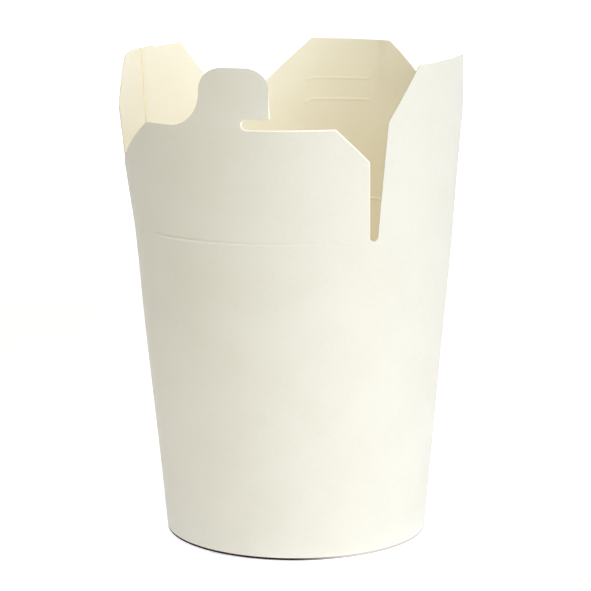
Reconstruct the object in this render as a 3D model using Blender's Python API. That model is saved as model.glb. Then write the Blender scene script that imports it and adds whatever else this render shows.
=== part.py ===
# A noodle takeaway box of folded paper board, stood open and empty.
# A round tapered cup carries four curved flaps above a scored crease, and its floor is a
# recessed disc whose skirt is held by the wall's turned-in hem.
# Metres, +Z up, origin at the centre of the foot. Angles are degrees round the axis: 0 faces -Y,
# where the flap with the tab stands, and 90 faces +X.
import math

import bmesh
import bpy
from mathutils import Matrix, Vector

# Driving dimensions
FOOT_RADIUS = 0.0440  # outer face of the wall at the floor
WALL_SLOPE = 0.0897  # radius gained per metre of height
CREASE_HEIGHT = 0.1058
BOARD = 0.00045  # thickness of the board
GAP = 0.0003  # kept between pieces that touch

# The foot: the wall's lower edge is folded in and up round the skirt of the floor
HEM_HEIGHT = 0.0062
FLOOR_TOP = 0.0075
FOLD_BEVEL = 0.0003
SKIRT_SLOT = GAP + BOARD + GAP

# The glued side seam: the outer ply ends at LAP_OUTER_END, the inner one at LAP_INNER_END
LAP_OUTER_END = -94.6
LAP_INNER_END = -85.4
LAP_EASE = 12.0  # the single ply behind the lap comes back out to the cone over this angle
LAP_STEP = 0.1  # angle in which a cut edge drops one ply

# The facets
COLUMN = 4.0  # degrees between the straight lines that the round faces are made of
ARC_STEP = 16.0  # degrees turned by each side of a rounded corner
CLOSEST_COLUMN = 0.5

# The flaps, each drawn flat as (across, up, corner radius): across is measured along the crease
# from the flap's middle and up from the crease. Seen from outside, an outline starts at the lower
# right corner and runs up, over the top and down the left side.
TAB_SIDE_LEFT = 0.0019
TAB_SIDE_RIGHT = 0.0239
TAB_TOP = 0.0562
SHOULDER_LEFT = 0.0371  # top edge of the front flap, on either side of its tab
SHOULDER_RIGHT = 0.0368
HOOK_TOP = 0.0400  # upper side of the slot under the tab
HOOK_END = 0.0154  # and its closed end
LOCK_FOOT = 0.0556  # half the width of the two locking flaps at the crease
LOCK_EDGE = 0.0546  # and where their sloping corners start

# The two narrow side flaps mirror each other: each slopes off lower on its side to the front
SIDE_FOOT = 0.0256
SIDE_EDGE = 0.0235
SIDE_FRONT_TOP = (0.0129, 0.0554)
SIDE_FRONT_SLOPE_FOOT = 0.0379
SIDE_BACK_TOP = (0.0151, 0.0562)
SIDE_BACK_SLOPE_FOOT = 0.0433

FRONT_OUTLINE = (
    (LOCK_FOOT, 0.0, 0.0),
    (LOCK_EDGE, 0.0257, 0.0),
    (0.0432, SHOULDER_RIGHT, 0.0),
    (HOOK_END, SHOULDER_RIGHT, 0.0015),
    (HOOK_END, HOOK_TOP, 0.0015),
    (TAB_SIDE_RIGHT, HOOK_TOP, 0.0006),
    (TAB_SIDE_RIGHT, TAB_TOP, 0.0062),
    (TAB_SIDE_LEFT, TAB_TOP, 0.0069),
    (TAB_SIDE_LEFT, SHOULDER_LEFT, 0.0121),
    (-0.0213, SHOULDER_LEFT, 0.0),
    (-LOCK_EDGE, 0.0160, 0.0),
    (-LOCK_FOOT, 0.0, 0.0),
)
BACK_OUTLINE = (
    (LOCK_FOOT, 0.0, 0.0),
    (LOCK_EDGE, 0.0263, 0.0),
    (0.0240, 0.0561, 0.0),
    (-0.0034, 0.0558, 0.0),
    (-LOCK_EDGE, 0.0133, 0.0),
    (-LOCK_FOOT, 0.0, 0.0),
)
LEFT_OUTLINE = (
    (SIDE_FOOT, 0.0, 0.0),
    (SIDE_EDGE, SIDE_FRONT_SLOPE_FOOT, 0.0),
    (*SIDE_FRONT_TOP, 0.0),
    (-SIDE_BACK_TOP[0], SIDE_BACK_TOP[1], 0.0),
    (-SIDE_EDGE, SIDE_BACK_SLOPE_FOOT, 0.0),
    (-SIDE_FOOT, 0.0, 0.0),
)
RIGHT_OUTLINE = tuple((-across, up, radius) for across, up, radius in reversed(LEFT_OUTLINE))
FLAPS = {
    "flap_front": (0.0, FRONT_OUTLINE),
    "flap_right": (90.0, RIGHT_OUTLINE),
    "flap_back": (180.0, BACK_OUTLINE),
    "flap_left": (-90.0, LEFT_OUTLINE),
}

BOARD_COLOURS = {
    "wall": (0.87, 0.86, 0.78, 1.0),
    "base": (0.84, 0.81, 0.70, 1.0),
    "flap_front": (0.87, 0.86, 0.78, 1.0),
    "flap_right": (0.88, 0.87, 0.79, 1.0),
    "flap_back": (0.86, 0.84, 0.74, 1.0),
    "flap_left": (0.86, 0.85, 0.76, 1.0),
}
BOARD_ROUGHNESS = 0.55

# Piecewise straight rules of (angle, depth) for how far each face stands in from the plain cone
OUTER_RULE = (
    (LAP_OUTER_END - LAP_EASE, 0.0),
    (LAP_OUTER_END - LAP_STEP, BOARD),
    (LAP_OUTER_END, 0.0),
)
INNER_RULE = (
    (LAP_OUTER_END - LAP_EASE, 0.0),
    (LAP_OUTER_END, BOARD),
    (LAP_INNER_END, BOARD),
    (LAP_INNER_END + LAP_STEP, 0.0),
)
SEAM_COLUMNS = sorted({angle for rule in (OUTER_RULE, INNER_RULE) for angle, _ in rule})


def clear_scene():
    for obj in list(bpy.data.objects):
        bpy.data.objects.remove(obj, do_unlink=True)


def follow(rule, angle):
    """The depth that a rule gives at an angle, 0 outside it."""
    for (low, at_low), (high, at_high) in zip(rule, rule[1:]):
        if low <= angle <= high:
            return at_low + (at_high - at_low) * (angle - low) / (high - low)
    return 0.0


def cone_radius(height):
    return FOOT_RADIUS + WALL_SLOPE * height


def outer_face(angle, height):
    return cone_radius(height) - follow(OUTER_RULE, angle)


def inner_face(angle, height):
    return cone_radius(height) - BOARD - follow(INNER_RULE, angle)


def on_circle(angle, radius, height):
    turn = math.radians(angle)
    return Vector((radius * math.sin(turn), -radius * math.cos(turn), height))


def columns_between(low, high, needed):
    """Angles of the straight lines of a round face: those needed, and every COLUMN degrees elsewhere."""
    kept = sorted(needed)
    steps = range(math.ceil(low / COLUMN), math.floor(high / COLUMN) + 1)
    for angle in (step * COLUMN for step in steps):
        if all(abs(angle - other) > CLOSEST_COLUMN for other in kept):
            kept.append(angle)
    return sorted(kept)


def wall_section(angle):
    """The wall's section, round from the outer face: up it, down the inner face and round the hem."""
    top = CREASE_HEIGHT - GAP / 2
    hem = SKIRT_SLOT + BOARD
    return (
        (outer_face(angle, FOLD_BEVEL), FOLD_BEVEL),
        (outer_face(angle, top), top),
        (inner_face(angle, top), top),
        (inner_face(angle, BOARD), BOARD),
        (inner_face(angle, BOARD) - SKIRT_SLOT, BOARD),
        (inner_face(angle, HEM_HEIGHT) - SKIRT_SLOT, HEM_HEIGHT),
        (inner_face(angle, HEM_HEIGHT) - hem, HEM_HEIGHT),
        (inner_face(angle, FOLD_BEVEL) - hem, FOLD_BEVEL),
        (inner_face(angle, 0.0) - hem + FOLD_BEVEL, 0.0),
        (outer_face(angle, 0.0) - FOLD_BEVEL, 0.0),
    )


def base_section(angle):
    """The floor's section, from its upper edge down the skirt and back up to its underside."""
    skirt_foot = BOARD + GAP
    underside = FLOOR_TOP - BOARD
    return (
        (inner_face(angle, FLOOR_TOP) - GAP - FOLD_BEVEL, FLOOR_TOP),
        (inner_face(angle, FLOOR_TOP) - GAP, FLOOR_TOP - FOLD_BEVEL),
        (inner_face(angle, skirt_foot) - GAP, skirt_foot),
        (inner_face(angle, skirt_foot) - GAP - BOARD, skirt_foot),
        (inner_face(angle, underside) - GAP - BOARD, underside),
    )


def turned(section, closed):
    """A mesh turned round the axis. An open section is closed by a flat disc at each of its ends."""
    bm = bmesh.new()
    angles = columns_between(-180.0 + COLUMN, 180.0, SEAM_COLUMNS)
    rings = [[bm.verts.new(on_circle(a, r, z)) for r, z in section(a)] for a in angles]
    for ring, following in zip(rings, rings[1:] + rings[:1]):
        pairs = list(zip(range(len(ring)), range(1, len(ring))))
        if closed:
            pairs.append((len(ring) - 1, 0))
        for low, high in pairs:
            bm.faces.new((ring[low], following[low], following[high], ring[high]))
    if not closed:
        bm.faces.new([ring[0] for ring in rings])
        bm.faces.new([ring[-1] for ring in reversed(rings)])
    bmesh.ops.recalc_face_normals(bm, faces=bm.faces)
    return bm


def rounded(outline):
    """The outline's points, with each corner that has a radius replaced by an arc."""
    points = []
    for index, (x, y, radius) in enumerate(outline):
        corner = Vector((x, y))
        if not radius:
            points.append(corner)
            continue
        before = (Vector(outline[index - 1][:2]) - corner).normalized()
        after = (Vector(outline[(index + 1) % len(outline)][:2]) - corner).normalized()
        opening = before.angle(after)
        centre = corner + (before + after).normalized() * radius / math.sin(opening / 2)
        start = corner + before * radius / math.tan(opening / 2) - centre
        turn = -(math.pi - opening) * (1 if before.x * after.y > before.y * after.x else -1)
        sides = max(3, round(abs(math.degrees(turn)) / ARC_STEP))
        for step in range(sides + 1):
            points.append(centre + Matrix.Rotation(turn * step / sides, 2) @ start)
    return points


def rolled(outline, middle):
    """A flap's flat outline, cut into strips along the cone's straight lines, thickened and rolled up."""
    per_degree = math.radians(cone_radius(CREASE_HEIGHT))
    points = rounded(outline)
    bm = bmesh.new()
    bm.faces.new([bm.verts.new((p.x, p.y, 0.0)) for p in points])
    needed = {middle + p.x / per_degree for p in points}
    low, high = min(needed), max(needed)
    needed.update(angle for angle in SEAM_COLUMNS if low < angle < high)
    for angle in columns_between(low, high, needed):
        bmesh.ops.bisect_plane(
            bm,
            geom=bm.verts[:] + bm.edges[:] + bm.faces[:],
            dist=1e-6,
            plane_co=((angle - middle) * per_degree, 0.0, 0.0),
            plane_no=(1.0, 0.0, 0.0),
        )
    outer = list(bm.verts)
    grown = bmesh.ops.extrude_face_region(bm, geom=bm.faces[:])["geom"]
    inner = [item for item in grown if isinstance(item, bmesh.types.BMVert)]
    for verts, face in ((outer, outer_face), (inner, inner_face)):
        for vert in verts:
            angle = middle + vert.co.x / per_degree
            height = CREASE_HEIGHT + max(vert.co.y, GAP / 2)
            vert.co = on_circle(angle, face(angle, height), height)
    bmesh.ops.recalc_face_normals(bm, faces=bm.faces)
    return bm


def fold_line(outline, middle):
    """The middle of the straight line that a flap turns about: the chord under its two lower corners."""
    per_degree = math.radians(cone_radius(CREASE_HEIGHT))
    half_angle = max(abs(x) for x, y, _ in outline if y == 0.0) / per_degree
    inner = inner_face(0.0, CREASE_HEIGHT)
    return on_circle(middle, inner * math.cos(math.radians(half_angle)) - GAP, CREASE_HEIGHT)


def board_material(name):
    material = bpy.data.materials.new("board_" + name)
    material.use_nodes = True
    shader = material.node_tree.nodes["Principled BSDF"]
    shader.inputs["Base Color"].default_value = BOARD_COLOURS[name]
    shader.inputs["Roughness"].default_value = BOARD_ROUGHNESS
    shader.inputs["Metallic"].default_value = 0.0
    material.diffuse_color = BOARD_COLOURS[name]
    return material


def add_piece(name, bm, origin):
    """An object from the mesh, with its origin at the given point."""
    mesh = bpy.data.meshes.new(name)
    bm.to_mesh(mesh)
    bm.free()
    mesh.transform(Matrix.Translation(-origin))
    mesh.shade_smooth()
    mesh.set_sharp_from_angle(angle=math.radians(35))
    mesh.materials.append(board_material(name))
    obj = bpy.data.objects.new(name, mesh)
    obj.location = origin
    bpy.context.scene.collection.objects.link(obj)


def main():
    clear_scene()
    add_piece("wall", turned(wall_section, closed=True), Vector((0.0, 0.0, 0.0)))
    add_piece("base", turned(base_section, closed=False), Vector((0.0, 0.0, 0.0)))
    for name, (middle, outline) in FLAPS.items():
        add_piece(name, rolled(outline, middle), fold_line(outline, middle))


main()
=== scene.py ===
import math

import bmesh
import bpy
from mathutils import Matrix, Vector, noise


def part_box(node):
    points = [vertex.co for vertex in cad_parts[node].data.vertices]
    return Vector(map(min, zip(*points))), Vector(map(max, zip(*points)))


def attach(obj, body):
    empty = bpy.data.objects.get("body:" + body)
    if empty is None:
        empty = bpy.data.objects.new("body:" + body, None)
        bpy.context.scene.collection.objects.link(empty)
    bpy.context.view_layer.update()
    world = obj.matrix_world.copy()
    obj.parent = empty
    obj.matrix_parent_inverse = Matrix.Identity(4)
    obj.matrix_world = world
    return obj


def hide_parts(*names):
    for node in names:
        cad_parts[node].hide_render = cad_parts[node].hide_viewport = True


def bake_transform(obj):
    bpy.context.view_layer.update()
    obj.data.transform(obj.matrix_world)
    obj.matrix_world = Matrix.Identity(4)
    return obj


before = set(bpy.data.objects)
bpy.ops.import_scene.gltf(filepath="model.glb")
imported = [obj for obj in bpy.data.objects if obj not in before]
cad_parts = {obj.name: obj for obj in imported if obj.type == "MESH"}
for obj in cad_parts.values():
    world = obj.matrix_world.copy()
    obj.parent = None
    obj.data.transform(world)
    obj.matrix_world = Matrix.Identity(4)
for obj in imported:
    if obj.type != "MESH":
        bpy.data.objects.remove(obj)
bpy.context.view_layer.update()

print("frame loaded:", ", ".join(sorted(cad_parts)))

# The board and the cone that it is rolled into. Angles are degrees round the axis: 0 faces -Y.
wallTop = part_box("wall")[1]
board = {
    "thickness": 0.00045,
    "slope": 0.0897,  # radius gained per metre of height
    "halfGap": 0.00015,  # the wall's solid stops this far below the score
    "columnStep": 1.5,  # degrees between the lines of vertices
    "closestColumn": 0.2,
    "arcStep": 6.0,  # degrees turned by each side of a rounded corner
    "sharpFrom": 30.0,  # an edge that turns by more degrees than this looks sharp
}
board["crease"] = wallTop.z + board["halfGap"]
board["footRadius"] = wallTop.y - board["slope"] * wallTop.z
board["creaseRadius"] = board["footRadius"] + board["slope"] * board["crease"]
board["perDegree"] = math.radians(board["creaseRadius"])

# Each face has one of these finishes, in the order of boardSkins
outerFinish, innerFinish, cutFinish, seamFinish, footShadowFinish, burrHighlightFinish = range(6)


def smooth(value):
    value = min(1.0, max(0.0, value))
    return value * value * (3 - 2 * value)


def smoothBetween(start, end, value):
    return smooth((value - start) / (end - start))


def bell(distance, width):
    return math.exp(-((distance / width) ** 2))


def onCircle(angle, radius, height):
    turn = math.radians(angle)
    return Vector((radius * math.sin(turn), -radius * math.cos(turn), height))


# The glued side seam, where one ply laps the other
seam = {
    "outerEnd": -94.6,  # the outer ply's cut edge, outside
    "innerEnd": -85.4,  # the inner ply's cut edge, inside
    "ease": 12.0,  # degrees over which the single ply behind comes back to the cone
    "outerStep": 0.04,
    "innerStep": 0.32,  # the inner cut is ragged, so it slopes
}


def seamShift(angle, outside):
    # how far a face stands in from the plain cone
    depth = board["thickness"]
    behind = seam["outerEnd"] - (seam["outerStep"] if outside else 0.0)
    if angle <= behind:
        return depth * smooth((angle - behind + seam["ease"]) / seam["ease"])
    if outside:
        return 0.0
    if angle <= seam["innerEnd"]:
        return depth
    return depth * max(0.0, 1 - (angle - seam["innerEnd"]) / seam["innerStep"])


# The score that the flaps fold along. The board swells there, so the line stands proud on both
# faces, a little steeper above its crest than below.
score = {
    "swell": 0.00026,
    "rise": 0.0003,  # its crest lies this far above the fold
    "reach": 0.006,  # nothing is left of it beyond this
    "above": 0.00038,
    "below": 0.00044,
    "lipHeight": 0.00005,  # a shallow hollow along it
    "lipWidth": 0.0012,
    "unevenness": 0.3,
    "noiseRadius": 2.2,
    "noiseSeed": 0.7,
    "middle": 18.0,  # outside, it is crisp round here and faint further on, to both sides
    "crisp": 32.0,
    "faint": 46.0,
    "faintShare": 0.1,
    "secondFrom": -58.0,  # a second, fainter score runs just above it here
    "secondFadeIn": 4.0,
    "secondTo": -40.0,
    "secondFadeOut": 6.0,
    "secondRise": 0.0017,
    "secondSwell": 0.00005,
    "rows": (0.00015, 0.0003, 0.00045, 0.0006, 0.0008, 0.001, 0.00125, 0.0015, 0.0018, 0.0022, 0.003),
}


def scoreSwell(angle, height):
    rise = height - board["crease"] - score["rise"]
    if abs(rise) > score["reach"]:
        return 0.0
    around = noise.noise(onCircle(angle, score["noiseRadius"], score["noiseSeed"]))
    swell = score["swell"] * (1 + score["unevenness"] * around)
    swell *= bell(rise, score["above"] if rise > 0 else score["below"])
    swell -= score["lipHeight"] * bell(rise, score["lipWidth"])
    away = abs(angle - score["middle"])
    swell *= 1 - (1 - score["faintShare"]) * smoothBetween(score["crisp"], score["faint"], away)
    fade = smooth((angle - score["secondFrom"]) / score["secondFadeIn"])
    fade *= smooth((score["secondTo"] - angle) / score["secondFadeOut"])
    second = bell(height - board["crease"] - score["secondRise"], score["below"])
    return swell + score["secondSwell"] * fade * second


# Card is never a perfect cone: it bows a little between its folds
bow = {"depth": 0.00022, "around": 1.4, "up": 11.0, "seed": 4.3, "fullFrom": 0.02}


def bowDepth(angle, height):
    place = onCircle(angle, bow["around"], height * bow["up"] + bow["seed"])
    return bow["depth"] * smooth(height / bow["fullFrom"]) * noise.noise(place)


# The two lock lines scored into the back flap stand proud on its inner face, each with a hook at
# its end. Their points are (angle from the flap's middle, height).
lock = {
    "middle": 180.0,
    "span": 32.0,  # both lie within this angle of the middle
    "lines": (
        ((26.7, 0.1471), (25.0, 0.1479), (4.9, 0.1479), (4.1, 0.1481), (3.8, 0.1487), (3.7, 0.1506)),
        ((27.8, 0.1392), (25.2, 0.1404), (4.3, 0.1406), (3.5, 0.1408), (3.2, 0.1414), (3.1, 0.1433)),
    ),
    "ridge": 0.00012,
    "width": 0.00034,
    "spread": 0.0015,
}


def lineDistance(x, y, line):
    nearest = math.inf
    for (ax, ay), (bx, by) in zip(line, line[1:]):
        dx, dy = bx - ax, by - ay
        share = min(1.0, max(0.0, ((x - ax) * dx + (y - ay) * dy) / (dx * dx + dy * dy)))
        nearest = min(nearest, math.hypot(x - ax - share * dx, y - ay - share * dy))
    return nearest


lockRuns = [
    [(math.radians(angle) * board["creaseRadius"], height) for angle, height in line]
    for line in lock["lines"]
]


def lockRelief(angle, height):
    across = math.radians(angle - lock["middle"]) * board["creaseRadius"]
    relief = 0.0
    for run in lockRuns:
        away = lineDistance(across, height, run)
        if away < lock["spread"]:
            relief += lock["ridge"] * bell(away, lock["width"])
    return relief


# The opened flaps stand a little off the cone: each lean grows towards one side of its flap
leans = (
    {"from": 0.0, "full": -58.5, "out": 0.046, "flare": 0.0, "power": 1.5},  # front flap
    {"from": -100.7, "full": -64.8, "out": 0.033, "flare": 0.0009, "power": 1.7},  # left flap
)
frontSlits = (-61.0, 61.0)  # the slits on both sides of the front flap
flareHeight = 0.022

# The left flap bulges beside its seam
bulge = {"reach": 0.0009, "angle": -86.0, "spread": 14.0, "rise": 0.032, "height": 0.015}

# The tab above its slot springs open: it flattens towards its free side and tips outwards
tab = {"from": 0.036, "full": 0.046, "left": 2.0, "right": 25.6, "flatten": 0.0017, "tip": 0.07}

# The right flap curls in a little at its top, on its side to the back
curl = {"reach": 0.0005, "from": 0.036, "full": 0.047, "startAngle": 80.0, "fullAngle": 105.0}

# The mouth is pushed a little to one side, most just under the score
sway = {"reach": 0.0003, "towards": 122.6, "height": 0.0980, "spread": 0.018}


def leanOut(angle, height):
    rise = height - board["crease"]
    shift = sway["reach"] * bell(height - sway["height"], sway["spread"])
    shift *= math.cos(math.radians(angle - sway["towards"]))
    if rise <= 0:
        return shift
    if angle > frontSlits[1]:
        side = smoothBetween(curl["startAngle"], curl["fullAngle"], angle)
        return shift - curl["reach"] * side * smoothBetween(curl["from"], curl["full"], rise)
    lean = leans[0] if angle > frontSlits[0] else leans[1]
    share = (angle - lean["from"]) / (lean["full"] - lean["from"])
    flare = lean["flare"] * smooth(rise / flareHeight)
    shift += (rise * lean["out"] + flare) * max(0.0, share) ** lean["power"]
    if angle < frontSlits[0]:
        over = bell(angle - bulge["angle"], bulge["spread"]) * bell(rise - bulge["rise"], bulge["height"])
        return shift + bulge["reach"] * over * smooth(rise / flareHeight)
    if rise < tab["from"]:
        return shift
    opening = max(0.0, angle - tab["left"]) / (tab["right"] - tab["left"])
    flattened = tab["flatten"] * opening ** 2 * smoothBetween(tab["from"], tab["full"], rise)
    return shift + flattened + tab["tip"] * (rise - tab["from"])


def faceRadius(angle, height, outside):
    wrapped = (angle + 180.0) % 360.0 - 180.0
    radius = board["footRadius"] + board["slope"] * height + leanOut(wrapped, height)
    radius += bowDepth(wrapped, height) - seamShift(wrapped, outside)
    if outside:
        return radius + scoreSwell(wrapped, height)
    radius -= scoreSwell(score["middle"], height)  # inside, the line is crisp all the way round
    if abs(angle - lock["middle"]) < lock["span"]:
        radius -= lockRelief(angle, height)
    return radius - board["thickness"]


def columnsBetween(low, high, needed):
    # evenly spaced, but not right beside the columns that the shape needs
    step = board["columnStep"]
    kept = sorted(needed)
    for count in range(math.ceil(low / step), math.floor(high / step) + 1):
        angle = count * step
        if all(abs(angle - other) > board["closestColumn"] for other in kept):
            kept.append(angle)
    return sorted(kept)


seamColumns = [
    seam["outerEnd"] - seam["outerStep"],
    seam["outerEnd"],
    seam["innerEnd"],
    seam["innerEnd"] + seam["innerStep"],
]


def finishPiece(name, bm):
    mesh = bpy.data.meshes.new(name)
    bm.to_mesh(mesh)
    bm.free()
    mesh.shade_smooth()
    mesh.set_sharp_from_angle(angle=math.radians(board["sharpFrom"]))
    for skin in boardSkins:
        mesh.materials.append(skin)
    obj = bpy.data.objects.new(name, mesh)
    bpy.context.scene.collection.objects.link(obj)
    return obj


# Shader maths: wraps a socket, so that node trees are written as plain expressions
class Wire:
    def __init__(self, tree, socket=None):
        self.tree = tree
        self.socket = socket

    def make(self, kind, settings=None, inputs=None, output=0):
        node = self.tree.nodes.new("ShaderNode" + kind)
        for name, value in (settings or {}).items():
            setattr(node, name, value)
        for name, value in (inputs or {}).items():
            if isinstance(value, Wire):
                self.tree.links.new(value.socket, node.inputs[name])
            else:
                node.inputs[name].default_value = value
        return Wire(self.tree, node.outputs[output])

    def feed(self, node, name):
        self.tree.links.new(self.socket, node.inputs[name])

    def maths(self, operation, first, second):
        return self.make("Math", {"operation": operation}, {0: first, 1: second})

    def __add__(self, other):
        return self.maths("ADD", self, other)

    def __radd__(self, other):
        return self.maths("ADD", other, self)

    def __sub__(self, other):
        return self.maths("SUBTRACT", self, other)

    def __rsub__(self, other):
        return self.maths("SUBTRACT", other, self)

    def __mul__(self, other):
        return self.maths("MULTIPLY", self, other)

    def __rmul__(self, other):
        return self.maths("MULTIPLY", other, self)

    def limited(self, low, high):
        ends = {"From Min": low, "From Max": high}
        return self.make("MapRange", {"interpolation_type": "SMOOTHSTEP"}, {"Value": self, **ends})


def startMaterial(name):
    material = bpy.data.materials.new(name)
    material.use_nodes = True
    shader = material.node_tree.nodes["Principled BSDF"]
    return material, shader, Wire(material.node_tree)


def noiseAt(place, settings):
    return place.make("TexNoise", {}, {"Vector": place, **settings})


def alongAxis(place, axis):
    return place.make("VectorMath", {"operation": "DOT_PRODUCT"}, {0: place, 1: axis}, output="Value")


def mixColours(factor, first, second):
    # a Mix node's colours are its sockets 6 and 7, and the mixed colour is its output 2
    return factor.make("Mix", {"data_type": "RGBA"}, {0: factor, 6: first, 7: second}, output=2)


def linkBoard(shader, colour, gloss, height, settings):
    colour.feed(shader, "Base Color")
    gloss.feed(shader, "Roughness")
    depth = {"Strength": settings["bump"], "Distance": settings["bumpDepth"]}
    height.make("Bump", {}, {"Height": height, **depth}).feed(shader, "Normal")
    shader.inputs["Specular IOR Level"].default_value = settings["specular"]


# Coated board: a nearly even white with the soft cloud of its fibres under a thin satin coat
coat = {
    "cloud": {"Scale": 46.0, "Detail": 5.0, "Roughness": 0.62},
    "fibre": {"Scale": 900.0, "Detail": 3.0, "Roughness": 0.6},
    "grain": {"Scale": 3200.0, "Detail": 2.0},
    "cloudShare": 0.65,  # how far each of them shows in the colour
    "fibreShare": 0.35,
    "mottleLimits": (0.38, 0.66),
    "cells": {"Scale": 95.0, "Randomness": 1.0},  # a fleck may lie in the middle of each cell
    "fleckLimits": (0.02, 0.05),
    "fleckNoise": {"Scale": 60.0, "Detail": 1.0},  # few of them are kept
    "keptLimits": (0.66, 0.70),
    "fleckStrength": 0.7,
    "cloudGloss": 0.10,
    "fibreGloss": 0.16,
    "cloudHeight": 0.8,
    "fibreHeight": 0.6,
    "grainHeight": 0.25,
    "bumpDepth": 0.0004,
    "specular": 0.35,
}
coatedFinishes = {
    "outer": {
        "light": (0.721, 0.711, 0.644, 1.0),
        "dark": (0.698, 0.684, 0.610, 1.0),
        "fleck": (0.70, 0.62, 0.47, 1.0),
        "roughness": 0.52,
        "bump": 0.05,
    },
    "inner": {
        "light": (0.962, 0.924, 0.792, 1.0),
        "dark": (0.948, 0.904, 0.756, 1.0),
        "fleck": (0.72, 0.62, 0.45, 1.0),
        "roughness": 0.42,
        "bump": 0.04,
    },
}


def coatedBoard(name):
    settings = {**coat, **coatedFinishes[name]}
    material, shader, wire = startMaterial(name + "Board")
    place = wire.make("TexCoord", output="Object")
    cloud = noiseAt(place, settings["cloud"])
    fibre = noiseAt(place, settings["fibre"])
    grain = noiseAt(place, settings["grain"])
    mottle = cloud * settings["cloudShare"] + fibre * settings["fibreShare"]
    colour = mixColours(mottle.limited(*settings["mottleLimits"]), settings["light"], settings["dark"])
    cells = wire.make("TexVoronoi", {}, {"Vector": place, **settings["cells"]})
    kept = noiseAt(place, settings["fleckNoise"]).limited(*settings["keptLimits"])
    fleck = (1 - cells.limited(*settings["fleckLimits"])) * kept
    colour = mixColours(fleck * settings["fleckStrength"], colour, settings["fleck"])
    gloss = settings["roughness"] + (fibre - 0.5) * settings["fibreGloss"]
    gloss = gloss + (cloud - 0.5) * settings["cloudGloss"]
    height = fibre * settings["fibreHeight"] + grain * settings["grainHeight"]
    linkBoard(shader, colour, gloss, height + cloud * settings["cloudHeight"], settings)
    return material


# Bare board: the core that a knife leaves along a cut, the torn fibres beside it, painted paler as a
# highlight where the cuts face the lamps, and the cut at the seam, painted browner with the warm light on
# it
bareCore = {
    "fibre": {"Scale": 2600.0, "Detail": 4.0, "Roughness": 0.7},
    "patch": {"Scale": 160.0, "Detail": 2.0},
    "fibreShare": 0.6,
    "patchShare": 0.4,
    "variationLimits": (0.45, 0.70),
    "roughness": 0.85,
    "fibreGloss": 0.2,
    "bump": 0.35,
    "bumpDepth": 0.0002,
    "specular": 0.2,
}
bareFinishes = {
    "cut": {"light": (0.76, 0.74, 0.65, 1.0), "dark": (0.68, 0.64, 0.53, 1.0)},
    # a painted highlight: the same core as the cut, paler
    "burr": {"light": (0.975, 0.955, 0.875, 1.0), "dark": (0.93, 0.88, 0.75, 1.0)},
    # painted warm light makes this cut browner than the others
    "seam": {"light": (0.90, 0.82, 0.62, 1.0), "dark": (0.86, 0.74, 0.50, 1.0)},
}


def bareBoard(name):
    settings = {**bareCore, **bareFinishes[name]}
    material, shader, wire = startMaterial(name + "Board")
    place = wire.make("TexCoord", output="Object")
    fibre = noiseAt(place, settings["fibre"])
    patch = noiseAt(place, settings["patch"])
    variation = fibre * settings["fibreShare"] + patch * settings["patchShare"]
    colour = mixColours(variation.limited(*settings["variationLimits"]), settings["light"], settings["dark"])
    gloss = settings["roughness"] + (fibre - 0.5) * settings["fibreGloss"]
    linkBoard(shader, colour, gloss, fibre, settings)
    return material


# The fold that the box stands on: painted shadow, near black on all but one side, where it pales towards
# the lamps
footPaintedShadow = {
    "light": (0.045, 0.016, 0.004, 1.0),
    "dark": (0.014, 0.005, 0.001, 1.0),
    # the painted shadow's paler end, on the side towards the lamps
    "litSide": (0.52, 0.47, 0.45, 1.0),
    "litSideTowards": 122.6,
    "litSideLimits": (-0.05, 0.45),  # as shares of the foot's radius
    "shadowMottle": {"Scale": 55.0, "Detail": 4.0, "Roughness": 0.6},
    "fibre": {"Scale": 1400.0, "Detail": 3.0},
    "shadowMottleShare": 0.8,
    "fibreShare": 0.2,
    "variationLimits": (0.40, 0.62),
    "roughness": 0.8,
    "fibreGloss": 0.2,
    "bump": 0.3,
    "bumpDepth": 0.0002,
    "specular": 0.1,
}


def footShadowBoard():
    material, shader, wire = startMaterial("footShadowBoard")
    place = wire.make("TexCoord", output="Object")
    shadowMottle = noiseAt(place, footPaintedShadow["shadowMottle"])
    fibre = noiseAt(place, footPaintedShadow["fibre"])
    variation = shadowMottle * footPaintedShadow["shadowMottleShare"] + fibre * footPaintedShadow["fibreShare"]
    colour = mixColours(variation.limited(*footPaintedShadow["variationLimits"]), footPaintedShadow["light"], footPaintedShadow["dark"])
    # the painted shadow pales on the side that faces the lamps
    towards = onCircle(footPaintedShadow["litSideTowards"], 1 / board["footRadius"], 0.0)
    litSide = alongAxis(place, towards).limited(*footPaintedShadow["litSideLimits"])
    colour = mixColours(litSide, colour, footPaintedShadow["litSide"])
    gloss = footPaintedShadow["roughness"] + (fibre - 0.5) * footPaintedShadow["fibreGloss"]
    linkBoard(shader, colour, gloss, fibre, footPaintedShadow)
    return material


boardSkins = [
    coatedBoard("outer"),
    coatedBoard("inner"),
    bareBoard("cut"),
    bareBoard("seam"),
    footShadowBoard(),
    bareBoard("burr"),
]
print("board finishes made")


# The cup's wall, up to the score, with its foot folded in round the floor's skirt
cupWall = {
    "rows": 48,
    "lowest": 0.0012,
    "paintedShadowTo": 0.0008,  # the fold's painted shadow shows outside up to here
    "bend": 0.0003,  # outer radius of the folds at the foot
    "bendSteps": 4,
    "foldHeight": 0.00045,  # thickness of the fold under the skirt
    "slotBottom": 0.000441,
    "hemHeight": 0.0062,
    "hemLowest": 0.0006,  # its inner face starts here, and its fold is below
    "hemRows": 8,
    "skirtRoom": 0.00052,  # the floor's skirt fills this slot
    "knurls": 140,
    "knurlDepth": 0.00006,
    "lift": 0.0008,  # the foot clears the floor by this much on one side
    "liftTowards": -60.0,
    "liftSpread": 75.0,
    "liftHeight": 0.03,
}


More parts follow.
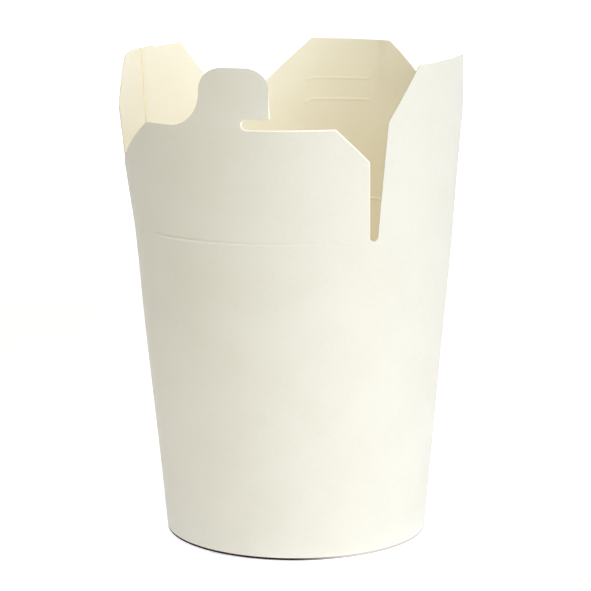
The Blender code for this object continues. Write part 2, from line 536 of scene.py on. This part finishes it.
def footLift(angle, height):
    away = (angle - cupWall["liftTowards"] + 180.0) % 360.0 - 180.0
    return cupWall["lift"] * bell(away, cupWall["liftSpread"]) * smooth(1 - height / cupWall["liftHeight"])


def wallHeights():
    start, end = cupWall["lowest"], board["crease"] - score["rows"][-1]
    plain = [start + (end - start) * step / cupWall["rows"] for step in range(cupWall["rows"] + 1)]
    near = [board["crease"] - rise for rise in reversed(score["rows"][:-1])]
    return [cupWall["bend"], cupWall["paintedShadowTo"]] + plain + near + [board["crease"]]


def wallProfile(angle):
    # (radius, height, finish of the strip that follows), round from the foot's outer side
    heights = wallHeights()
    points = [(faceRadius(angle, height, True), height, outerFinish) for height in heights]
    points[0] = (*points[0][:2], footShadowFinish)
    points[-1] = (*points[-1][:2], cutFinish)
    fold = cupWall["foldHeight"]
    for height in reversed(heights):
        if height >= fold:
            points.append((faceRadius(angle, height, False), height, innerFinish))
    slot = faceRadius(angle, fold, False)
    hemOuter = slot - cupWall["skirtRoom"]
    top = cupWall["hemHeight"]
    points.append((slot, cupWall["slotBottom"], innerFinish))
    points.append((hemOuter, cupWall["slotBottom"], innerFinish))
    points.append((hemOuter + board["slope"] * (top - fold), top, cutFinish))
    hemInner = hemOuter - board["thickness"]
    ridge = cupWall["knurlDepth"] * math.cos(math.radians(angle) * cupWall["knurls"])
    rows = cupWall["hemRows"]
    for step in range(rows + 1):
        height = top - (top - cupWall["hemLowest"]) * step / rows
        points.append((hemInner + board["slope"] * (height - fold) + ridge, height, outerFinish))
    bend = cupWall["bend"]
    steps = cupWall["bendSteps"]
    for step in range(steps + 1):
        turn = math.radians(90) * step / steps
        finish = outerFinish if step < steps / 2 else footShadowFinish
        points.append((hemInner + bend * (1 - math.cos(turn)), bend * (1 - math.sin(turn)), finish))
    inset = bend + seamShift(angle, True)
    for step in range(steps):
        turn = math.radians(90) * step / steps
        across = board["footRadius"] - inset + bend * math.sin(turn)
        points.append((across, bend * (1 - math.cos(turn)), footShadowFinish))
    return [(radius, height + footLift(angle, height), finish) for radius, height, finish in points]


def turnedRing(profile, angles):
    bm = bmesh.new()
    sections = [profile(angle) for angle in angles]
    rings = []
    for angle, section in zip(angles, sections):
        rings.append([bm.verts.new(onCircle(angle, radius, height)) for radius, height, _ in section])
    for section, ring, following in zip(sections, rings, rings[1:] + rings[:1]):
        for low, (_, _, finish) in enumerate(section):
            high = (low + 1) % len(ring)
            made = bm.faces.new((ring[low], following[low], following[high], ring[high]))
            made.material_index = finish
    return bm


def markSeamCuts(bm):
    # the radial steps where each ply ends are raw board
    for face in bm.faces:
        if face.material_index in (outerFinish, innerFinish):
            centre = face.calc_center_median()
            angle = math.degrees(math.atan2(centre.x, -centre.y))
            if face.material_index == innerFinish and 0 < angle - seam["innerEnd"] < seam["innerStep"]:
                face.material_index = seamFinish
            if face.material_index == outerFinish and 0 < seam["outerEnd"] - angle < seam["outerStep"]:
                face.material_index = cutFinish


def makeCupWall():
    angles = columnsBetween(-180.0 + board["columnStep"], 180.0, seamColumns)
    bm = turnedRing(wallProfile, angles)
    bmesh.ops.recalc_face_normals(bm, faces=bm.faces)
    markSeamCuts(bm)
    wall = finishPiece("cupWall", bm)
    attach(wall, "cup")
    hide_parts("wall")


makeCupWall()
print("wall made")


# The floor: a disc pressed down inside the wall, its skirt gripped by the hem
cupFloor = {
    "top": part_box("base")[1].z,
    "rings": 26,
    "crowding": 0.8,  # below 1, the rings lie closer together towards the skirt
    "innermost": 0.006,  # the first ring is smaller than this
    "bend": 0.0009,  # radius of the fold between disc and skirt
    "bendSteps": 6,
    "skirtFoot": 0.0005,
    "clearance": 0.00004,
    "dish": 0.00045,  # how far the disc sags in its middle
    "ringDepth": 0.00012,  # the ring pressed into it
    "ringWidth": 0.0009,
    "ringInset": 0.0026,
}


def floorProfile(angle):
    # (radius, height, finish), from the middle out over the skirt and back underneath
    top = cupFloor["top"]
    thick = board["thickness"]
    bend = cupFloor["bend"]
    steps = cupFloor["bendSteps"]
    outer = faceRadius(angle, top, False) - cupFloor["clearance"]
    disc = outer - bend
    rings = cupFloor["rings"]
    shares = [(step / rings) ** cupFloor["crowding"] for step in range(1, rings + 1)]

    def dip(radius):
        share = min(1.0, radius / disc)
        ring = bell(radius - (disc - cupFloor["ringInset"]), cupFloor["ringWidth"])
        return cupFloor["dish"] * (1 - share * share) + cupFloor["ringDepth"] * ring

    points = [(disc * share, top - dip(disc * share), innerFinish) for share in shares]
    for step in range(1, steps + 1):
        turn = math.radians(90) * step / steps
        points.append((disc + bend * math.sin(turn), top - bend * (1 - math.cos(turn)), innerFinish))
    foot = cupFloor["skirtFoot"]
    lean = board["slope"] * (top - bend - foot)
    points.append((outer - lean, foot, cutFinish))
    points.append((outer - lean - thick, foot, outerFinish))
    inside = bend - thick
    for step in range(steps + 1):
        turn = math.radians(90) * (1 - step / steps)
        points.append((disc + inside * math.sin(turn), top - bend + inside * math.cos(turn), outerFinish))
    for share in reversed(shares[:-1]):
        points.append((disc * share, top - thick - dip(disc * share), outerFinish))
    return points


def joinsMiddles(face):
    # the strip between the top's and the underside's first rings
    heights = [vert.co.z for vert in face.verts]
    reach = max(math.hypot(vert.co.x, vert.co.y) for vert in face.verts)
    return reach < cupFloor["innermost"] and max(heights) - min(heights) > board["thickness"] / 2


def makeCupFloor():
    angles = columnsBetween(-180.0 + board["columnStep"], 180.0, seamColumns)
    bm = turnedRing(floorProfile, angles)
    bmesh.ops.delete(bm, geom=[face for face in bm.faces if joinsMiddles(face)], context="FACES_ONLY")
    rims = [edge for edge in bm.edges if edge.is_boundary]
    middle = cupFloor["top"] - board["thickness"] / 2 - cupFloor["dish"]
    for finish, upper in ((innerFinish, True), (outerFinish, False)):
        loop = [edge for edge in rims if (edge.verts[0].co.z > middle) == upper]
        for face in bmesh.ops.contextual_create(bm, geom=loop)["faces"]:
            face.material_index = finish
    bmesh.ops.recalc_face_normals(bm, faces=bm.faces)
    floor = finishPiece("cupFloor", bm)
    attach(floor, "cup")
    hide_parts("base")


makeCupFloor()
print("floor made")


# The flaps, each drawn flat as (across, up, corner radius) in metres: across is measured along
# the score from the flap's middle, up from the score. Their lower corners round the slits' ends.
slitEnd = 0.0014
softCorner = 0.0005
lockFoot, lockEdge = 0.0556, 0.0546
sideFoot = 0.0256
shoulderLeft, shoulderRight = 0.0371, 0.0367
tabLeft, tabRight, tabTop = 0.0025, 0.0240, 0.0563
hookEnd, hookTop = 0.0154, 0.0401


def sideOutline(edge, front, back, between=()):
    # a narrow flap, which slopes off lower on its side to the front, drawn here as +across
    return (
        (sideFoot + slitEnd, 0.0, 0.0), (sideFoot, 0.0, slitEnd), (edge, 0.0379, softCorner),
        (*front, softCorner), *between, (-back[0], back[1], softCorner),
        (-edge, back[1] - back[2], softCorner), (-sideFoot, 0.0, slitEnd), (-sideFoot - slitEnd, 0.0, 0.0),
    )


leftTop = (  # a blunt front corner and a small nick
    (0.0086, 0.0554, 0.003), (-0.0012, 0.0559, 0.002), (-0.0034, 0.0554, 0.0015), (-0.0060, 0.0557, 0.002),
)
leftOutline = sideOutline(0.0230, (0.0133, 0.0540), (0.0146, 0.0560, 0.0114), leftTop)
rightOutline = sideOutline(0.0236, (0.0128, 0.0553), (0.0157, 0.0563, 0.0128))
flaps = {
    "frontFlap": {
        "node": "flap_front", "body": "front_panel", "middle": 0.0, "bendUp": 0.024, "torn": True,
        "outline": (
            (lockFoot + slitEnd, 0.0, 0.0), (lockFoot, 0.0, slitEnd), (lockEdge, 0.0257, softCorner),
            (0.0432, shoulderRight, softCorner), (hookEnd, shoulderRight, 0.0015),
            (hookEnd, hookTop, 0.0015), (tabRight, hookTop, 0.0006), (tabRight, tabTop, 0.0067),
            (tabLeft, tabTop, 0.0081), (tabLeft, shoulderLeft, 0.0123), (-0.0205, shoulderLeft, softCorner),
            (-0.0378, 0.0262, 0.03), (-lockEdge, 0.0179, softCorner), (-lockFoot, 0.0, slitEnd),
            (-lockFoot - slitEnd, 0.0, 0.0),
        ),
    },
    "backFlap": {
        "node": "flap_back", "body": "back_panel", "middle": 180.0, "bendUp": 0.024, "locked": True,
        "outline": (
            (lockFoot + slitEnd, 0.0, 0.0), (lockFoot, 0.0, slitEnd), (lockEdge, 0.0263, softCorner),
            (0.0240, 0.0561, softCorner), (-0.0036, 0.0558, softCorner), (-lockEdge, 0.0132, softCorner),
            (-lockFoot, 0.0, slitEnd), (-lockFoot - slitEnd, 0.0, 0.0),
        ),
    },
    "rightFlap": {
        "node": "flap_right", "body": "right_panel", "middle": 90.0, "bendUp": 0.009,
        "outline": tuple((-x, y, radius) for x, y, radius in reversed(rightOutline)),
    },
    "leftFlap": {
        "node": "flap_left", "body": "left_panel", "middle": -90.0, "bendUp": 0.009, "seamed": True,
        "outline": leftOutline,
    },
}

# The front flap's cuts on its free side have a sloping burr of torn fibres outside; its pale finish is a
# painted highlight
burr = {
    "width": 0.00036,
    "drop": 0.00027,  # how far it falls away at the cut
    "fullRise": 0.003,
    "from": 0.007,  # across the flap
    "full": 0.012,
    "top": 0.049,
    "fade": 0.004,
    "least": 0.001,  # a smaller share of it isn't made
}


def burrShare(point, outward):
    share = smooth(point.y / burr["fullRise"]) * smooth((burr["top"] - point.y) / burr["fade"])
    share *= smoothBetween(burr["from"], burr["full"], point.x)
    return share * smooth(1 + outward.y)  # none where the cut faces down


def roundedOutline(outline):
    points = []
    for index, (x, y, radius) in enumerate(outline):
        corner = Vector((x, y))
        if not radius:
            points.append(corner)
            continue
        before = (Vector(outline[index - 1][:2]) - corner).normalized()
        after = (Vector(outline[(index + 1) % len(outline)][:2]) - corner).normalized()
        opening = before.angle(after)
        centre = corner + (before + after).normalized() * radius / math.sin(opening / 2)
        start = corner + before * radius / math.tan(opening / 2) - centre
        turn = -(math.pi - opening) * (1 if before.x * after.y > before.y * after.x else -1)
        sides = max(3, round(abs(math.degrees(turn)) / board["arcStep"]))
        for step in range(sides + 1):
            points.append(centre + Matrix.Rotation(turn * step / sides, 2) @ start)
    return points


# The flaps' rows and columns, closer together along the back flap's lock lines. Fine ones are
# (first, step, count).
flapMesh = {
    "rowStep": 0.0016,
    "lockRows": (0.0322, 0.00025, 60),
    "hookColumns": (2.4, 0.2, 14),
    "lineColumns": (5.2, 0.5, 48),
    "closestColumn": 0.1,
    "snap": 1e-6,
}


def evenly(first, step, count):
    return [first + step * number for number in range(count)]


def flapRows(settings, top):
    rows = set(score["rows"])
    rise = score["rows"][-1]
    while rise < top:
        rows.add(round(rise, 6))
        rise += flapMesh["rowStep"]
    if "locked" in settings:
        rows.update(evenly(*flapMesh["lockRows"]))
    return sorted(rows)


def flapColumns(settings, points):
    middle = settings["middle"]
    needed = {middle + point.x / board["perDegree"] for point in points}
    low, high = min(needed), max(needed)
    needed.update(angle for angle in seamColumns if low < angle < high)
    if "locked" in settings:
        fine = []
        for first, step, count in (flapMesh["hookColumns"], flapMesh["lineColumns"]):
            fine += evenly(middle + first, step, count)
        closest = flapMesh["closestColumn"]
        needed.update(angle for angle in fine if all(abs(angle - other) > closest for other in needed))
    return columnsBetween(low, high, needed)


def cutAlong(bm, place, across):
    bmesh.ops.bisect_plane(
        bm, geom=bm.verts[:] + bm.edges[:] + bm.faces[:], dist=flapMesh["snap"],
        plane_co=(place, 0, 0) if across else (0, place, 0), plane_no=(1, 0, 0) if across else (0, 1, 0),
    )


def flatFlap(points, torn):
    # the outline filled, with the burr as a rim that runs out at both ends
    bm = bmesh.new()
    edge = []
    inset = []
    for index, point in enumerate(points):
        before = (point - points[index - 1]).normalized()
        along = (before + (points[(index + 1) % len(points)] - point).normalized()).normalized()
        inward = Vector((-along.y, along.x))
        share = burrShare(point, -inward) if torn else 0.0
        edge.append(bm.verts.new((point.x, point.y, -burr["drop"] * share)))
        if share < burr["least"]:
            inset.append(edge[index])
            continue
        moved = point + inward * burr["width"] * share / along.dot(before)
        inset.append(bm.verts.new((moved.x, moved.y, 0)))
    bm.faces.new(inset).material_index = outerFinish
    for index in range(len(points) - 1):
        corners = dict.fromkeys((edge[index], edge[index + 1], inset[index + 1], inset[index]))
        if len(corners) > 2:
            bm.faces.new(list(corners)).material_index = burrHighlightFinish
    return bm


def thicken(bm):
    # gives the flat flap an inner face and cut edges, and returns the vertices of both faces
    outer = list(bm.verts)
    grown = bmesh.ops.extrude_face_region(bm, geom=bm.faces[:])["geom"]
    inner = {item for item in grown if isinstance(item, bmesh.types.BMVert)}
    for face in bm.faces:
        count = sum(vert in inner for vert in face.verts)
        if count:
            face.material_index = innerFinish if count == len(face.verts) else cutFinish
    return outer, inner


def makeFlap(name, settings):
    middle = settings["middle"]
    points = roundedOutline(settings["outline"])
    bm = flatFlap(points, "torn" in settings)
    for angle in flapColumns(settings, points):
        cutAlong(bm, (angle - middle) * board["perDegree"], True)
    for row in flapRows(settings, max(point.y for point in points)):
        cutAlong(bm, row, False)
    outer, inner = thicken(bm)
    for verts, outside in ((outer, True), (inner, False)):
        for vert in verts:
            angle = middle + vert.co.x / board["perDegree"]
            height = board["crease"] + vert.co.y
            drop = vert.co.z if outside else 0.0
            vert.co = onCircle(angle, faceRadius(angle, height, outside) + drop, height)
    bmesh.ops.recalc_face_normals(bm, faces=bm.faces)
    if "seamed" in settings:
        markSeamCuts(bm)
    flap = finishPiece(name, bm)
    bend = (0, 0, board["crease"]), (0, 0, board["crease"] + settings["bendUp"])
    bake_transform(flap)
    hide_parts(settings["node"])


for flapName, flapSettings in flaps.items():
    makeFlap(flapName, flapSettings)
    print(flapName, "made")


# The camera, from the photograph's perspective
camera = {
    "azimuth": 32.6,
    "distance": 0.8037,
    "height": 0.2316,
    "pitch": 10.697,  # degrees down
    "yaw": 0.034,
    "roll": -0.527,
    "lens": 147.53,
    "sensor": 36.0,
}


def makeCamera():
    data = bpy.data.cameras.new("camera")
    data.lens = camera["lens"]
    data.sensor_width = camera["sensor"]
    obj = bpy.data.objects.new("camera", data)
    pitch, yaw, roll = (math.radians(camera[key]) for key in ("pitch", "yaw", "roll"))
    forward = Vector((math.sin(yaw) * math.cos(pitch), math.cos(yaw) * math.cos(pitch), -math.sin(pitch)))
    level = Vector((math.cos(yaw), -math.sin(yaw), 0))
    above = level.cross(forward)
    right = math.cos(roll) * level + math.sin(roll) * above
    upward = math.cos(roll) * above - math.sin(roll) * level
    turned = Matrix.Rotation(math.radians(camera["azimuth"]), 4, "Z")
    axes = Matrix((right, upward, -forward)).transposed().to_4x4()
    place = Matrix.Translation((0, -camera["distance"], camera["height"]))
    obj.matrix_world = turned @ place @ axes
    bpy.context.scene.collection.objects.link(obj)
    bpy.context.scene.camera = obj


# The floor and backdrop, one pale sweep that lies square to the camera. Its paper glows: painted light,
# strongest beyond the box and round the foot, where it washes out the cup's shadow
sweep = {
    "nearEdge": -1.6,
    "farEdge": 2.2,
    "width": 5.0,
    "curl": 0.9,
    "curlSteps": 16,
    "height": 2.4,
    "colour": (0.93, 0.93, 0.925, 1.0),
    "palerBy": 1.01,
    "fleck": {"Scale": 3.0, "Detail": 2.0},
    "roughness": 0.7,
    "specular": 0.1,
    "nearGlow": 0.03,
    "farGlow": 0.56,  # the paper beyond the box
    "farLimits": (0.15, 0.9),
    "footGlow": 0.357,  # round the foot, but not under it
    "footReach": 0.45,
    "ringGlow": 0.24,  # close to the foot, where the cup's own shadow falls
    "ringReach": 0.009,
    "underFrom": 0.0012,  # under the cup the glow has gone between these depths
    "underTo": 0.0030,
    "glowTint": (0.97, 1.0, 1.14),
}


def sweepPaper():
    material, shader, wire = startMaterial("sweepPaper")
    place = wire.make("TexCoord", output="Object")
    paler = tuple(min(1.0, value * sweep["palerBy"]) for value in sweep["colour"][:3]) + (1.0,)
    mixColours(noiseAt(place, sweep["fleck"]), sweep["colour"], paler).feed(shader, "Base Color")
    shader.inputs["Roughness"].default_value = sweep["roughness"]
    shader.inputs["Specular IOR Level"].default_value = sweep["specular"]
    beyond = wire.make("SeparateXYZ", {}, {"Vector": place}, output="Y").limited(*sweep["farLimits"])
    glow = sweep["nearGlow"] + beyond * (sweep["farGlow"] - sweep["nearGlow"])
    out = wire.make("VectorMath", {"operation": "LENGTH"}, {0: place}, output="Value")
    foot = board["footRadius"]
    glow = glow + (1 - out.limited(foot, sweep["footReach"])) * sweep["footGlow"]
    glow = glow + (1 - out.limited(foot, foot + sweep["ringReach"])) * sweep["ringGlow"]
    glow = glow * out.limited(foot - sweep["underTo"], foot - sweep["underFrom"])
    tinted = {index: glow * share for index, share in enumerate(sweep["glowTint"])}
    wire.make("CombineColor", {}, tinted).feed(shader, "Emission Color")
    shader.inputs["Emission Strength"].default_value = 1.0
    return material


def makeSweep():
    profile = [(sweep["nearEdge"], 0.0)]
    start = sweep["farEdge"] - sweep["curl"]
    for step in range(sweep["curlSteps"] + 1):
        turn = math.radians(90) * step / sweep["curlSteps"]
        profile.append((start + sweep["curl"] * math.sin(turn), sweep["curl"] * (1 - math.cos(turn))))
    profile.append((sweep["farEdge"], sweep["height"]))
    bm = bmesh.new()
    half = sweep["width"] / 2
    rows = [[bm.verts.new((x, y, z)) for x in (-half, half)] for y, z in profile]
    for low, high in zip(rows, rows[1:]):
        bm.faces.new((low[0], low[1], high[1], high[0]))
    mesh = bpy.data.meshes.new("sweep")
    bm.to_mesh(mesh)
    bm.free()
    mesh.shade_smooth()
    mesh.materials.append(sweepPaper())
    obj = bpy.data.objects.new("sweep", mesh)
    obj.rotation_euler.z = math.radians(camera["azimuth"])
    bpy.context.scene.collection.objects.link(obj)


makeCamera()
makeSweep()
print("camera and sweep made")


# Studio light: soft boxes on the right, in front and overhead, and a dim room to the left.
# Each place is (degrees right of the lens, elevation, distance).
lamps = {
    "right": {"place": (65, 22, 1.6), "size": 1.4, "power": 10.0, "colour": (0.82, 0.875, 1.0)},
    "low": {"place": (48, 8, 1.8), "size": 1.6, "power": 10.6, "colour": (0.93, 0.965, 1.0)},
    "front": {"place": (5, 10, 1.8), "size": 1.6, "power": 8.5, "colour": (0.97, 1.0, 0.87)},
    "top": {"place": (0, 85, 1.4), "size": 1.4, "power": 19.9, "colour": (1.0, 0.92, 0.775)},
}
lampAim = Vector((0, 0, 0.08))
room = {
    "left": (0.26, 0.26, 0.24, 1.0),
    "right": (0.0, 0.0, 0.0, 1.0),
    "above": (0.0, 0.0, 0.0, 1.0),
    "sideLimits": (-0.8, 0.8),
    "aboveLimits": (0.2, 0.95),
}


def makeLamps():
    for name, lamp in lamps.items():
        data = bpy.data.lights.new(name, "AREA")
        data.shape = "DISK"
        data.size = lamp["size"]
        data.energy = lamp["power"]
        data.color = lamp["colour"]
        obj = bpy.data.objects.new(name, data)
        right, raised, away = lamp["place"]
        turn = math.radians(camera["azimuth"] + right)
        lift = math.radians(raised)
        level = math.cos(lift)
        outward = Vector((math.sin(turn) * level, -math.cos(turn) * level, math.sin(lift)))
        obj.location = lampAim + outward * away
        obj.rotation_euler = outward.to_track_quat("Z", "Y").to_euler()
        bpy.context.scene.collection.objects.link(obj)


def makeRoom():
    world = bpy.data.worlds.new("room")
    world.use_nodes = True
    wire = Wire(world.node_tree)
    towards = wire.make("TexCoord", output="Generated")
    sideways = onCircle(camera["azimuth"] + 90.0, 1.0, 0.0)
    upward = wire.make("SeparateXYZ", {}, {"Vector": towards}, output="Z")
    across = alongAxis(towards, sideways).limited(*room["sideLimits"])
    colour = mixColours(across, room["left"], room["right"])
    colour = mixColours(upward.limited(*room["aboveLimits"]), colour, room["above"])
    background = world.node_tree.nodes["Background"]
    colour.feed(background, "Color")
    background.inputs["Strength"].default_value = 1.0
    bpy.context.scene.world = world


makeLamps()
makeRoom()
bpy.context.scene.view_settings.view_transform = "Standard"
bpy.context.scene.view_settings.look = "None"
print("lights made")
